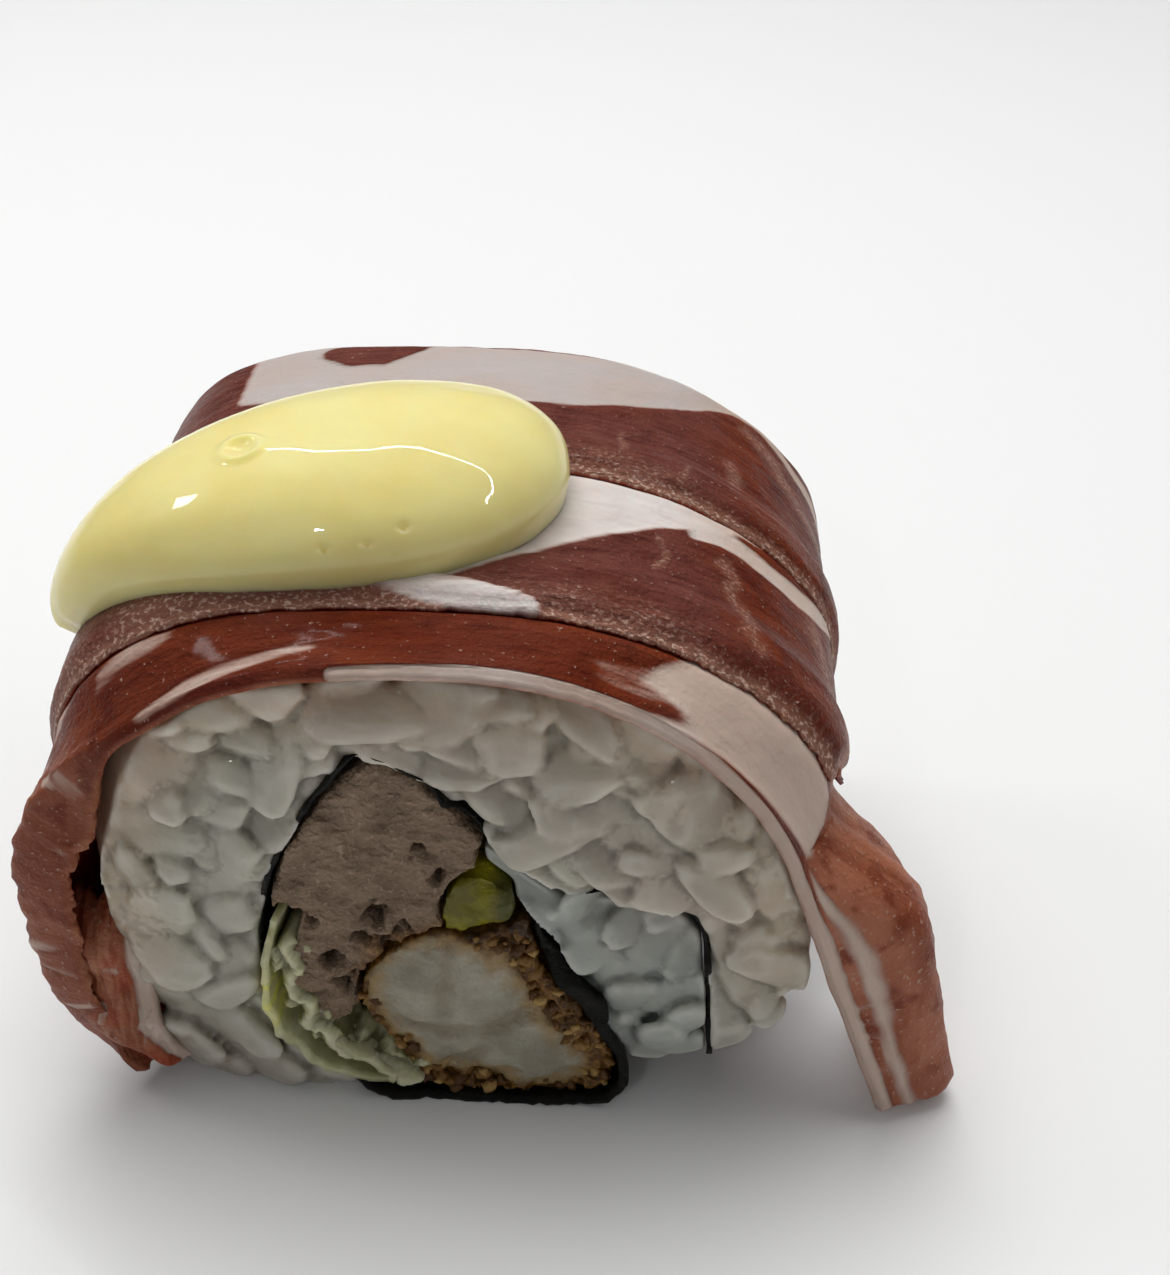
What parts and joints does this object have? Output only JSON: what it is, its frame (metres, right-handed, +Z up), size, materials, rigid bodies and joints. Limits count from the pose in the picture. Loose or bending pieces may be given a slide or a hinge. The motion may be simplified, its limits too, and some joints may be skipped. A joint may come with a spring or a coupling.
{
  "type": "ham inside-out sushi roll",
  "caption": "Cut piece of inside-out sushi roll: a rice arch round nori and its fillings, draped with overlapping thin slices of cured ham and topped with a spoonful of mayonnaise.",
  "frame": {"origin": "under the middle of the whole piece, at the level that it stands on", "axes": "+X across the cut face towards the hanging end of the front ham slice, +Y along the roll from the front cut face to the rear one, +Z up"},
  "size_m": [0.06, 0.0355, 0.0447],
  "materials": {
    "rice": "moist translucent cooked rice",
    "nori": "thin dry seaweed sheet, satin black green",
    "pate": "dull coarse spread",
    "breaded_prawn": "rough fried crumb round firm moist meat",
    "avocado": "soft, slightly oily",
    "lettuce": "crisp, moist",
    "ham": "oily cured meat with pale fat",
    "mayonnaise": "glossy and smooth"
  },
  "bodies": {
    "root": {"avocado": "avocado", "breaded_prawn": "breaded_prawn", "ham_back": "ham", "ham_front": "ham", "ham_middle": "ham", "lettuce": "lettuce", "mayonnaise": "mayonnaise", "nori": "nori", "pate": "pate", "rice": "rice", "rice_inner": "rice"}
  },
  "joints": []
}
